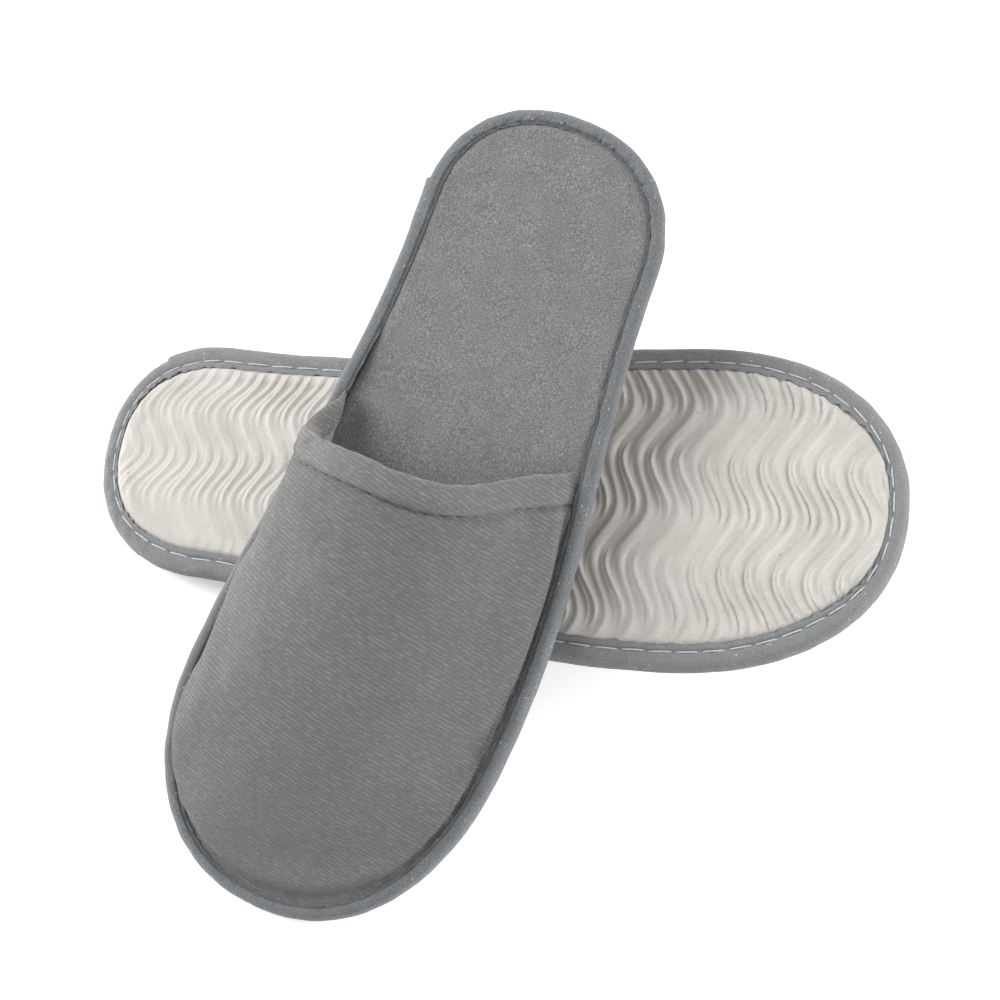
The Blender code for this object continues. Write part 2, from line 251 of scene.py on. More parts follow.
def arc_of(turn):
    """Length round the outline from the toe tip to a turn, in millimetres."""
    return np.interp(np.mod(turn, TURN), SWEEP_TURN, SWEEP_LENGTH)


def tipness(turn):
    """1 at the toe and heel tips, 0 along the sides."""
    return smooth((np.abs(np.cos(turn)) - 0.8) / 0.2)


def depth_inside(x, y):
    """Distance in from the outline of places in plan."""
    ring = outline(even_turns(900))
    flat_x = x.ravel()
    flat_y = y.ravel()
    result = np.empty(flat_x.size)
    step = 4000
    for start in range(0, flat_x.size, step):
        part = slice(start, start + step)
        gap = (flat_x[part, None] - ring[0]) ** 2 + (flat_y[part, None] - ring[1]) ** 2
        result[part] = np.sqrt(gap.min(1))
    return result.reshape(x.shape)


# ---- the two slippers

def turned(yaw, pitch, roll, upside_down):
    """A slipper's turn as a matrix, from angles in degrees."""
    turn = Matrix.Rotation(math.radians(yaw), 3, "Z")
    turn = turn @ Matrix.Rotation(math.radians(pitch), 3, "X")
    turn = turn @ Matrix.Rotation(math.radians(roll), 3, "Y")
    if upside_down:
        turn = turn @ Matrix.Rotation(math.pi, 3, "Y")
    return np.array(turn)


def located(name, turn):
    """Where the slipper's own origin is, from the box of its CAD footbed."""
    ring = rim(np.arange(FOOTBED_CORNERS) * TURN / FOOTBED_CORNERS, FOOTBED_INSET)
    low = np.full(FOOTBED_CORNERS, CUSHION_TOP + GAP)
    high = np.full(FOOTBED_CORNERS, FOOTBED_TOP)
    points = np.concatenate([np.stack([*ring, low], -1), np.stack([*ring, high], -1)]) @ turn.T
    box_low, box_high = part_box(name + "_footbed")
    middle = (np.array(box_low) + np.array(box_high)) / 2 / MM
    return middle - (points.min(0) + points.max(0)) / 2


UNDER = {"name": "under", "crown": 42.0, "lean": 0.0, "tail": 268.0, "on_floor": True, "seed": 11}
UNDER["turn"] = turned(-99.7, 12.0, 4.0, True)
OVER = {"name": "over", "crown": 43.0, "lean": 6.5, "tail": 248.0, "on_floor": False, "seed": 47}
OVER["turn"] = turned(155.9, -18.6, 3.0, False)
for slipper in (UNDER, OVER):
    slipper["place"] = located(slipper["name"], slipper["turn"])


# ---- surfaces of the upper

def dome_height(x, y, shrink, crown):
    """Height of the dome over its foot, for a layer smaller by shrink."""
    station = LENGTH / 2 - y
    spine = centre(station) + SPINE_SHIFT
    half = half_width(np.maximum(station, TOE_ROUND)) - FOOT_INSET - shrink
    offset = x - spine
    reach = np.where(offset > 0, half - SPINE_SHIFT, half + SPINE_SHIFT)
    sideways = offset / reach
    forward = np.maximum(0, TOE_ROUND - station) / (TOE_ROUND - FOOT_INSET - shrink)
    rho = (np.abs(sideways) ** ROUND_POWER + forward ** ROUND_POWER) ** (1 / ROUND_POWER)
    slope = SIDE_SLOPE - SIDE_SKEW * np.clip(sideways, -1, 1)
    rise = np.clip(station / OPENING_MIDDLE, 0, 1) ** 1.3
    height = TOE_CROWN + (crown - TOE_CROWN) * rise
    return height * np.maximum(0, 1 - rho ** DOME_POWER) ** slope


def opening_plan(across, shrink):
    """Plan place on the opening's edge, from the arch side, 0, to the outer side, 1."""
    side = np.cos(math.pi * across)
    wing = OPENING_WING - OPENING_SKEW * side
    curve = np.where(side > 0, ARCH_CURVE, OUTER_CURVE)
    station = OPENING_MIDDLE + (wing - OPENING_MIDDLE) * np.abs(side) ** curve
    half = half_width(station) - FOOT_INSET - shrink
    return centre(station) + side * half, LENGTH / 2 - station


def wing_turn(across):
    """Turn at which a line of the upper leaves the sole."""
    side = np.where(across < 0.5, 1, -1)
    station = OPENING_WING - OPENING_SKEW * side + WING_LAP
    return np.arccos(1 - 2 * station / LENGTH) * (1 - 2 * across)


def skin(slipper, across, rise, shrink):
    """Places on a layer of the upper, from its foot, rise 0, to the opening edge, rise 1."""
    across, rise, shrink = np.broadcast_arrays(across, rise, np.asarray(shrink, float))
    foot = rim(wing_turn(across), FOOT_INSET + shrink)
    edge = opening_plan(across, shrink)
    x = foot[0] + (edge[0] - foot[0]) * rise
    y = foot[1] + (edge[1] - foot[1]) * rise
    inner = shrink / UPPER_DEPTH
    base = FLANGE_TOP + (FLANGE_LOW - FLANGE_TOP) * inner
    crown = slipper["crown"] - inner * (UPPER_DEPTH - FLANGE_TOP + FLANGE_LOW)
    height = dome_height(x, y, shrink, crown) * smooth(rise / FOOT_FADE)
    z = base + height
    x = x + slipper["lean"] * smooth(height / LEAN_HEIGHT)
    tuck = 1 - smooth(np.minimum(across, 1 - across) / WING_TUCK)
    x = x + TUCK_OUT * tuck * np.where(across < 0.5, 1, -1)
    z = z - TUCK_DOWN * tuck
    if slipper["on_floor"]:
        level = slipper["turn"][2]
        top = slipper["place"][2] - (FLOOR_CLEARANCE + shrink)
        limit = -(top + level[0] * x + level[1] * y) / level[2]
        z = z - FLATTEN * np.logaddexp(0, (z - limit) / FLATTEN)
    return np.stack([x, y, z], -1)


def upper(slipper, across, rise, depth):
    """Places on the upper at a depth below its outer face, which may run past either face."""
    across, rise, depth = np.broadcast_arrays(across, rise, np.asarray(depth, float))
    outside = skin(slipper, across, rise, 0.0)
    inside = skin(slipper, across, rise, UPPER_DEPTH)
    full = 0.3 + 0.7 * smooth(np.minimum(across, 1 - across) / WING_TAPER)
    depth = np.where(depth > 0, depth * full, depth)
    return outside + (inside - outside) * (depth / UPPER_DEPTH)[..., None]


def line_lengths(slipper, across):
    """Length of the outer face from the foot to the opening edge, along each line."""
    steps = np.linspace(0, 1, 25)
    spots = skin(slipper, np.asarray(across)[:, None], steps[None, :], 0.0)
    return np.linalg.norm(np.diff(spots, axis=1), axis=2).sum(1)


def padded_top(lengths):
    """Rise at which the padded cloth ends under the hem, short of the opening edge."""
    return np.clip(1 - UNDER_HEM / lengths, 0.05, 1)


def arch_wall(across):
    """1 on the arch side, where the opening edge stands steeply, and 0 elsewhere."""
    return smooth((ARCH_WALL - across) / 0.08)


def edge_lengths(slipper, across):
    """Length along the opening edge from its arch end."""
    fine = np.linspace(0, 1, 2001)
    spots = skin(slipper, fine, 1.0, 0.0)
    length = np.concatenate([[0], np.cumsum(np.linalg.norm(np.diff(spots, axis=0), axis=1))])
    return np.interp(across, fine, length)


# ---- meshes

def normals_of(grid):
    """Unit normals of a grid of places."""
    down = np.gradient(grid, axis=0)
    along = np.gradient(grid, axis=1)
    cross = np.cross(down, along)
    return cross / np.maximum(np.linalg.norm(cross, axis=2, keepdims=True), 1e-9)


def outward_normals(grid, column):
    """Normals of a grid on the upper, turned to point up at a column of its middle line."""
    normals = normals_of(grid)
    return -normals if normals[len(grid) // 2, column, 2] < 0 else normals


def ring_faces(rows, count, closed):
    """Quads of a tube of rings, and strips that cap its ends unless it closes on itself."""
    first = np.arange(rows if closed else rows - 1)
    second = (first + 1) % rows
    index = np.arange(count)
    following = (index + 1) % count
    quads = np.stack([
        first[:, None] * count + index,
        first[:, None] * count + following,
        second[:, None] * count + following,
        second[:, None] * count + index,
    ], -1).reshape(-1, 4)
    if closed:
        return quads
    near = np.arange(count // 2 - 1)
    far = count - 1 - near
    start = np.stack([near + 1, near, far, far - 1], -1)
    end = start[:, ::-1] + (rows - 1) * count
    return np.concatenate([quads, start, end])


def tube_faces(rows, count):
    """Quads of a tube of rings, open at both ends."""
    return ring_faces(rows, count, True)[: (rows - 1) * count]


def closed_tube(rings):
    """Places and faces of a tube of rings, each end a fan to a place at its middle."""
    rows, count = rings.shape[:2]
    hubs = np.stack([rings[0].mean(0), rings[-1].mean(0)])
    index = np.arange(count)
    following = (index + 1) % count
    hub = np.full(count, rows * count)
    start = np.stack([following, index, hub, hub], -1)
    end = np.stack([index, following, hub + 1, hub + 1], -1)
    end[:, :2] += (rows - 1) * count
    faces = np.concatenate([tube_faces(rows, count), start, end])
    return np.concatenate([rings.reshape(-1, 3), hubs]), faces


def volume(points, faces):
    """Six times the space inside quads, negative where they face inward."""
    a, b, c, d = (points[faces[:, corner]] for corner in range(4))
    first = np.einsum("ij,ij->i", a, np.cross(b, c)).sum()
    return first + np.einsum("ij,ij->i", a, np.cross(c, d)).sum()


def new_object(name, data):
    made = bpy.data.objects.new(name, data)
    bpy.context.collection.objects.link(made)
    return made


def make_piece(slipper, name, points, faces, grain=None, sharp=None, caps=()):
    """A mesh object from places in the slipper's frame, with its pattern coordinates in mm."""
    points = points.reshape(-1, 3)
    grain = points if grain is None else grain.reshape(-1, 3)
    placed = (points @ slipper["turn"].T + slipper["place"]) * MM
    if volume(placed, faces) < 0:
        faces = faces[:, ::-1]
        caps = [loop[::-1] for loop in caps]
    full_name = slipper["name"] + "_" + name
    mesh = bpy.data.meshes.new(full_name)
    mesh.from_pydata(placed.tolist(), [], [*faces.tolist(), *caps])
    mesh.shade_smooth()
    if sharp:
        mesh.set_sharp_from_angle(angle=math.radians(sharp))
    store = mesh.attributes.new("grain", "FLOAT_VECTOR", "POINT")
    store.data.foreach_set("vector", grain.astype(np.float32).ravel())
    return new_object(full_name, mesh)


def register(slipper, piece, finish, slot, *nodes):
    """Finish and body of a piece, and the CAD nodes that it stands for; slot is not used."""
    piece.data.materials.append(finish)
    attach(piece, slipper["name"] + "_slipper")
    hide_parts(*(slipper["name"] + "_" + node for node in nodes))


def slab(inset, grid):
    """Plan places of a grid that fills the sole's outline at an inset."""
    columns, rows = grid
    turn = np.linspace(0, math.pi, 1500)
    right = rim(turn, inset)
    left = rim(-turn, inset)
    y = np.linspace(right[1].max() - 0.02, right[1].min() + 0.02, rows)
    high = np.interp(-y, -right[1], right[0])
    low = np.interp(-y, -left[1], left[0])
    share = np.linspace(0, 1, columns)
    x = low[:, None] + (high - low)[:, None] * share
    return x, np.broadcast_to(y[:, None], x.shape)


def slab_solid(x, y, face, other):
    """Rings, faces and two end caps of a layer with a shaped face and a flat other face."""
    shaped = np.stack([x, y, face], -1)
    ends = shaped[:, [-1, 0]].copy()
    ends[:, :, 2] = other
    flat = np.linspace(ends[:, 0], ends[:, 1], SLAB_BACK, axis=1)
    rings = np.concatenate([shaped, flat], axis=1)
    rows, count = rings.shape[:2]
    first = list(range(count))
    last = [(rows - 1) * count + index for index in first]
    return rings, tube_faces(rows, count), [first[::-1], last]


# ---- sole

# Shift, width and depth of the ribs' sway, and their pitch: under the forefoot, under the heel.
TREADS = ((3.5, 38, 4.2, 9.9), (-8.3, 32, -3.7, 9.15))


def tread_relief(x, y):
    """Height of the tread's swaying ribs above its mean face, outward."""
    fore = smooth((y + 10) / 20)
    wander = 0.5 * waves(5, (x, y), 30, 80)
    relief = 0.0
    for weight, (shift, span, sway, pitch) in zip((fore, 1 - fore), TREADS):
        phase = TURN * (x - shift) / span + math.pi
        cluster = 0.5 - 0.5 * np.cos(phase)
        theta = TURN * (y - sway * np.sin(phase) + wander) / pitch
        theta = theta + 0.55 * np.sin(theta)
        crest = np.exp(3.0 * (np.cos(theta) - 1))
        crest = crest * np.clip(2 * cluster - 0.3, 0, 1) ** 0.7
        between = np.exp(3.0 * (np.cos(theta - 2.9) - 1))
        between = between * np.clip(1.7 - 2 * cluster, 0, 1) ** 0.7
        lens = np.clip(0.45 - 0.9 * np.cos(theta - 0.5), 0, 1) * cluster ** 1.2
        fan = 4 * theta + 0.8 + 1.2 * np.sin(phase)
        shape = 0.95 * crest + 0.85 * between - 0.35 + 0.5 * lens * np.cos(fan)
        shape = shape + 0.1 * (1 - cluster) * np.cos(5 * theta - 1.5 * np.sin(phase))
        relief = relief + weight * shape
    fade = 0.6 + 0.6 * smooth((y + 10) / 90) + 0.07 * waves(9, (x, y), 40, 90)
    fade = fade * (1 - 0.5 * smooth((-y - 85) / 40))
    calm = 1 - 0.75 * smooth((-y - 40) / 60) * smooth((-x - 12) / 14)
    return relief * np.clip(fade, 0.4, 1.4) * calm


def build_outsole(slipper, finish):
    x, y = slab(OUTSOLE_INSET, TREAD_GRID)
    inside = depth_inside(x, y)
    tip = smooth((np.abs(y) / (LENGTH / 2) - 0.8) / 0.2)
    raw = 8.6 - 2.5 * tip  # the tape's raw edge, nearer the rim round the tips
    shoulder = smooth((raw + 1.2 - inside) / 2.4)
    swell = 0.25 * waves(slipper["seed"], (x, y), 60, 140) * (1 - shoulder)
    lip = 0.3 * bump(inside - raw - 3.2, 1.6)
    face = RIM_STEP * shoulder - tread_relief(x, y) * (1 - shoulder) - lip + 0.3 + swell
    face = np.minimum(face, OUTSOLE_TOP - 0.4)
    rings, faces, caps = slab_solid(x, y, face, OUTSOLE_TOP)
    piece = make_piece(slipper, "tread", rings, faces, sharp=50, caps=caps)
    register(slipper, piece, finish, "outsole_foam", "outsole")


def build_footbed(slipper, finish):
    x, y = slab(FOOTBED_INSET, FOOTBED_GRID)
    inside = depth_inside(x, y)
    seed = slipper["seed"]
    pile = 0.05 * waves(seed + 1, (x, y), 1.8, 4.0, 40)
    dish = 0.35 * waves(seed + 2, (x, y), 45, 120)
    pressed = 0.35 * bump(inside - 7.6, 2.4) - 0.6 * smooth((5.7 - inside) / 0.9)
    face = FOOTBED_TOP + (pile + dish) * smooth((inside - 5) / 5) + pressed
    rings, faces, caps = slab_solid(x, y, face, OUTSOLE_TOP + GAP)
    piece = make_piece(slipper, "footbed_pad", rings, faces, sharp=50, caps=caps)
    register(slipper, piece, finish, "footbed_pile", "footbed", "cushion_foam")


# ---- edge binding

def tape_top(turn):
    """Height of the tape's upper face, which ramps down behind the upper's wings."""
    wing_end = OPENING_WING + OPENING_SKEW + WING_LAP + 2
    ramp = smooth((turn_station(turn) - wing_end) / TAPE_RAMP)
    front = FLANGE_TOP + GAP + TAPE
    behind = FOOTBED_TOP + GAP + TAPE
    return front + (behind - front) * ramp


def tail_bulge(turn, slipper):
    """How far the tape stands out where its tail laps over its start."""
    ahead = slipper["tail"] - turn_station(turn)
    lies = (np.sin(turn) > 0) & (ahead >= 0)
    return np.where(lies, TAIL_RISE * np.exp(-np.maximum(ahead, 0) / TAIL_FADE), 0.0)


def under_line(turn):
    """Inset of the stitch line on the underside, closer to the edge round the tips."""
    return 5.9 - 1.1 * tipness(turn)


def pucker(turn, seed):
    """1 where the stitches pull the tape in, 0 between, a little uneven."""
    arc = arc_of(turn) + 1.6 * ring_waves(seed, turn, 20, 60)
    return 0.5 + 0.5 * np.cos(TURN * arc / STITCH_PITCH)


def gathers(turn, inset, seed):
    """Diagonal folds where the tape is eased round the heel and, less, the toe."""
    heel = smooth((-np.cos(turn) - 0.72) / 0.2)
    toe = smooth((np.cos(turn) - 0.8) / 0.2)
    arc = arc_of(turn) + 0.9 * inset + 1.3 * ring_waves(seed, turn, 30, 90)
    fold = 2 * np.abs(np.sin(math.pi * arc / 5.4)) ** 0.7 - 1.2
    return (0.26 * heel + 0.08 * toe + 0.05) * fold


def tape_profile(slipper, turn):
    """Insets and heights of the tape's outer face across its section, and its pattern's third
    coordinate: 0 at the needle seam and UNDER_SEAM at the bobbin seam."""
    seed = slipper["seed"]
    turn = turn[:, None]
    top = tape_top(turn)
    middle = (top + TAPE_UNDERSIDE) / 2
    half = (top - TAPE_UNDERSIDE) / 2
    pull = pucker(turn, seed + 3)
    upper_edge = TAPE_TOP_WIDTH + 0.12 * ring_waves(seed + 4, turn, 40, 160)
    raw = under_line(turn) + 2.7 - 1.4 * tipness(turn)
    raw = raw + 0.3 * ring_waves(seed + 5, turn, 30, 140)
    raw = raw + 0.06 * ring_waves(seed + 6, turn, 150, 300)
    share = np.linspace(0, 1, TAPE_TOP)[None, :]
    top_inset = upper_edge + (TAPE_ROUND - upper_edge) * share
    groove = NEEDLE_GROOVE * (0.85 + 0.3 * pull) * bump(top_inset - NEEDLE_LINE, 0.55)
    swell = 0.08 * ring_waves(seed + 7, turn, 20, 70) - 0.45 * smooth((top_inset - 5.1) / 0.8)
    near_seam = 0.5 + 1.4 * bump(top_inset - 4.2, 0.9)
    top_height = top - groove + swell + gathers(turn, top_inset, seed + 8) * near_seam
    bend = np.radians(np.linspace(90, -90, TAPE_SIDE + 2))[None, 1:-1]
    bulge = tail_bulge(turn, slipper)
    wobble = 0.09 * ring_waves(seed + 9, turn, 10, 60)
    creases = gathers(turn, -3 * np.sin(bend), seed + 8) * (0.6 + 0.4 * np.sin(bend))
    reach = TAPE_ROUND + bulge + wobble * 0.7 + creases * 0.3
    reach = reach - 0.05 * pull * np.cos(bend) ** 2
    side_inset = TAPE_ROUND - reach * np.cos(bend)
    side_height = middle + (half + 0.12 * ring_waves(seed + 7, turn, 20, 70)) * np.sin(bend)
    side_height = side_height + creases * 0.5 * np.sin(bend)
    share = np.linspace(0, 1, TAPE_LOW)[None, :]
    low_inset = TAPE_ROUND + (raw - TAPE_ROUND) * share
    line = under_line(turn)
    dimple = 0.45 * (0.65 + 0.6 * pull) * bump(low_inset - line, 0.75)
    low_height = TAPE_UNDERSIDE + dimple - 0.18 * bump(low_inset - raw + 1.2, 0.9)
    eased = smooth((line + 1 - low_inset) / 3)
    low_height = low_height - gathers(turn, low_inset, seed + 10) * 0.5 * eased
    inset = np.concatenate([top_inset, side_inset, low_inset], 1)
    height = np.concatenate([top_height, side_height, low_height], 1)
    below = UNDER_SEAM + low_inset - line
    above = NEEDLE_LINE - top_inset
    share = np.linspace(0, 1, TAPE_SIDE + 2)[None, 1:-1]
    between = above[:, -1:] + (below[:, :1] - above[:, -1:]) * share
    return inset, height, np.concatenate([above, between, below], 1)


def build_binding(slipper, finish):
    turn = even_turns(TAPE_TURNS)
    inset, height, section = tape_profile(slipper, turn)
    outer = np.stack([*rim(turn[:, None], inset), height], -1)
    outer = keep_off_floor(slipper, outer, 0.1)
    along = np.roll(outer, -1, 0) - np.roll(outer, 1, 0)
    across = np.gradient(outer, axis=1)
    inward = np.cross(along, across)
    inward /= np.linalg.norm(inward, axis=2, keepdims=True)
    edge = TAPE_TOP + TAPE_SIDE // 2
    side = outer[:, edge] - outer.mean(axis=(0, 1))
    side[:, 2] = 0
    if (inward[:, edge] * side).sum() > 0:
        inward = -inward
    inner = outer + inward * TAPE
    rings = np.concatenate([outer, inner[:, ::-1]], 1)
    grain = np.concatenate([outer[..., :2], section[..., None]], -1)
    grain = np.concatenate([grain, grain[:, ::-1] + 1.0], 1)
    faces = ring_faces(len(turn), rings.shape[1], True)
    piece = make_piece(slipper, "binding", rings, faces, grain, sharp=60)
    register(slipper, piece, finish, "binding_tape", "edge_binding")


# ---- upper

LINES = np.linspace(0, 1, VAMP_LINES)
SHARES = np.linspace(0, 1, VAMP_STEPS) ** 0.9  # closer together near the hem


def vamp_shift(slipper, across, rise, lengths):
    """How far the padded cloth stands out from, or sinks into, its even shape."""
    seed = slipper["seed"]
    back = (1 - rise) * lengths
    up = rise * lengths
    edge = edge_lengths(slipper, across)
    foot = arc_of(wing_turn(across))
    spot = skin(slipper, across, rise, 0.0)
    x, y, z = (spot[..., axis] for axis in range(3))
    groove = -0.6 * (1 - 0.75 * arch_wall(across)) * bump(back - HEM_SEAM, 0.9)
    puff = 0.55 * bump(back - HEM_SEAM - 3.6, 2.6)
    tight = 0.10 + 0.35 * smooth((0.22 - across) / 0.12) + 0.12 * smooth((across - 0.8) / 0.1)
    bend = 1.2 * waves(seed + 12, (edge, back * 0.5), 12, 40)
    ruck = tight * np.cos(TURN * (edge + bend) / 5.2)
    ruck = ruck * np.exp(-np.maximum(back - HEM_SEAM, 0) / 5) * smooth((back - 7.5) / 2)
    drag = 1.5 * waves(seed + 13, (foot, up * 0.6), 14, 50)
    pull = 0.5 + 0.5 * np.cos(TURN * (foot + drag) / STITCH_PITCH)
    seam = (0.45 - 0.3 * pull) * bump(up - 4.0, 3.2) - 0.25 * pull * bump(up - 1.2, 1.4)
    dents = 0.12 * waves(seed + 14, (x, y, z), 9, 22) * bump(up - 6, 9)
    soft = 0.5 * waves(seed + 15, (x, y, z), 34, 90)
    soft = soft + 0.10 * waves(seed + 16, (x, y, z), 10, 26)
    held = smooth(up / 12) * smooth(back / 14)
    return groove + puff + ruck + seam + dents + soft * held


def centre_run():
    """Length along the top of the upper from the toe tip, by station, for the run of the ribs."""
    station = np.linspace(0, LENGTH, 600)
    y = LENGTH / 2 - station
    crown = UNDER["crown"]
    height = dome_height(centre(station) + SPINE_SHIFT, y, 0.0, crown)
    height = np.where(station > OPENING_MIDDLE, crown, height)
    run = np.concatenate([[0], np.cumsum(np.hypot(np.diff(station), np.diff(height)))])
    return station, run


RUN_STATION, RUN_LENGTH = centre_run()


def blown_out(slipper):
    """How far the padded cloth of the upper moves when pressure fills it out, on the fine grid.

    A coarse open sheet is held along the sole, the hem and both wings, and is cut a little large,
    so that it swells and eases between them as the quilted cloth does.
    """
    across = np.linspace(0, 1, SIM_ROWS)
    top = padded_top(line_lengths(slipper, across))
    rise = np.linspace(0, 1, SIM_COLUMNS)[None, :] * top[:, None]
    start = skin(slipper, across[:, None], rise, 0.0)
    index = np.arange(SIM_ROWS * SIM_COLUMNS).reshape(SIM_ROWS, SIM_COLUMNS)
    corners = [index[:-1, :-1], index[1:, :-1], index[1:, 1:], index[:-1, 1:]]
    quads = np.stack(corners, -1).reshape(-1, 4)
    if normals_of(start)[SIM_ROWS // 2, SIM_COLUMNS // 2, 2] <= 0:
        quads = quads[:, ::-1]
    mesh = bpy.data.meshes.new("blown_sheet")
    mesh.from_pydata((start.reshape(-1, 3) * MM).tolist(), [], quads.tolist())
    sheet = new_object("blown_sheet", mesh)
    held = sheet.vertex_groups.new(name="held")
    edges = [index[:2], index[-2:], index[:, :2], index[:, -3:]]
    kept = np.unique(np.concatenate([edge.ravel() for edge in edges]))
    held.add(kept.tolist(), 1.0, "REPLACE")
    cloth = sheet.modifiers.new("cloth", "CLOTH")
    cloth.settings.quality = 6
    cloth.settings.mass = 0.2
    cloth.settings.bending_stiffness = 0.6
    cloth.settings.vertex_group_mass = "held"
    cloth.settings.use_pressure = True
    cloth.settings.uniform_pressure_force = 4.0
    cloth.settings.shrink_min = -0.02
    cloth.settings.effector_weights.gravity = 0.0
    cloth.collision_settings.use_collision = False
    cloth.point_cache.frame_start = 1
    cloth.point_cache.frame_end = SIM_FRAMES
    for number in range(1, SIM_FRAMES + 1):
        bpy.context.scene.frame_set(number)
    seen = sheet.evaluated_get(bpy.context.evaluated_depsgraph_get())
    places = np.empty(start.size)
    seen.data.vertices.foreach_get("co", places)
    bpy.data.objects.remove(sheet)
    bpy.context.scene.frame_set(1)
    moved = places.reshape(start.shape) / MM - start
    size = np.linalg.norm(moved, axis=2, keepdims=True)
    moved = moved * np.tanh(size / SIM_CAP) * SIM_CAP / np.maximum(size, 1e-6)
    return spread(moved, LINES * (SIM_ROWS - 1), SHARES * (SIM_COLUMNS - 1))


def spread(coarse, rows, columns):
    """A coarse grid's values at fractional rows and columns, smoothed."""
    index = np.arange(coarse.shape[0])
    eased = np.stack([
        np.stack([np.interp(rows, index, line) for line in coarse[..., axis].T], 1)
        for axis in range(3)
    ], -1)
    low = np.clip(columns.astype(int), 0, coarse.shape[1] - 2)
    part = (columns - low)[None, :, None]
    fine = eased[:, low] * (1 - part) + eased[:, low + 1] * part
    for _ in range(SIM_SMOOTHING):
        fine[1:-1] = (fine[:-2] + 2 * fine[1:-1] + fine[2:]) / 4
        fine[:, 1:-1] = (fine[:, :-2] + 2 * fine[:, 1:-1] + fine[:, 2:]) / 4
    return fine


def cloth_grain(points):
    """Pattern coordinates of the upper's cloth: across the slipper, along it, and up."""
    run = np.interp(LENGTH / 2 - points[..., 1], RUN_STATION, RUN_LENGTH)
    return np.stack([points[..., 0], run, points[..., 2]], -1)


def flange(turn, height):
    """A column of places along the flange by which the upper is sewn in."""
    return np.stack([*rim(turn, FLANGE_INSET), np.full(len(turn), height)], -1)[:, None]


def build_vamp(slipper, finish):
    across = LINES[:, None]
    lengths = line_lengths(slipper, LINES)[:, None]
    rise = SHARES * padded_top(lengths)
    outer = skin(slipper, across, rise, 0.0)
    outward = outward_normals(outer, 60)
    shift = vamp_shift(slipper, across, rise, lengths)
    outer = outer + outward * shift[..., None] + blown_out(slipper)
    if slipper["on_floor"]:
        outer = keep_off_floor(slipper, outer, FLOOR_CLEARANCE - 0.6)
    share = np.linspace(0, 1, VAMP_INNER)
    inner = upper(slipper, across, share * rise[:, -1:], UPPER_DEPTH - LINING - 0.1)
    turn = wing_turn(LINES)
    top = flange(turn, FLANGE_TOP)
    low = flange(turn, FLANGE_LOW + 0.25)
    places, faces = closed_tube(np.concatenate([top, outer, inner[:, ::-1], low], 1))
    piece = make_piece(slipper, "vamp", places, faces, cloth_grain(places), sharp=70)
    register(slipper, piece, finish, "vamp_twill", "vamp_cloth", "vamp_padding")


def keep_off_floor(slipper, points, clearance):
    """Bends places that would sink below a clearance over the floor back up to it."""
    level = slipper["turn"][2]
    height = points @ level + slipper["place"][2] - clearance
    lift = np.where(height < 0, -height, 0)
    return points + lift[..., None] * level


def build_lining(slipper, finish):
    across = np.linspace(0, 1, LINING_LINES)[:, None]
    lengths = line_lengths(slipper, across[:, 0])[:, None]
    rise = np.linspace(0.0, 1, LINING_STEPS)[None, :] * padded_top(lengths)
    shown = upper(slipper, across, rise, UPPER_DEPTH)
    ease = smooth(rise * lengths / 8) * smooth((1 - rise) * lengths / 9)
    soft = 0.35 * waves(slipper["seed"] + 20, tuple(np.moveaxis(shown, -1, 0)), 14, 50) * ease
    shown = upper(slipper, across, rise, UPPER_DEPTH + 0.05 + np.maximum(soft, -0.2))
    hidden = upper(slipper, across, rise, UPPER_DEPTH - LINING + 0.05)
    turn = wing_turn(across[:, 0])
    low = flange(turn, FLANGE_LOW - 0.1)
    high = low + np.array([0, 0, 0.25])
    places, faces = closed_tube(np.concatenate([low, shown, hidden[:, ::-1], high], 1))
    piece = make_piece(slipper, "lining", places, faces, cloth_grain(places), sharp=60)
    register(slipper, piece, finish, "lining_cloth", "vamp_lining")


def hem_face(slipper, across, back, depth, lengths):
    """Places on the folded hem, whose padding thins towards the fold and towards both wings."""
    rise = 1 - back / lengths
    length = edge_lengths(slipper, across)
    ends = smooth(np.minimum(length, length[-1] - length) / 14)
    thin = np.maximum(0.6 + 0.4 * smooth(back / 7), arch_wall(across))
    thin = thin * (0.25 + 0.75 * ends)
    middle = 1.2 + 0.6 * ends
    return upper(slipper, across, rise, middle + (depth - middle) * thin)


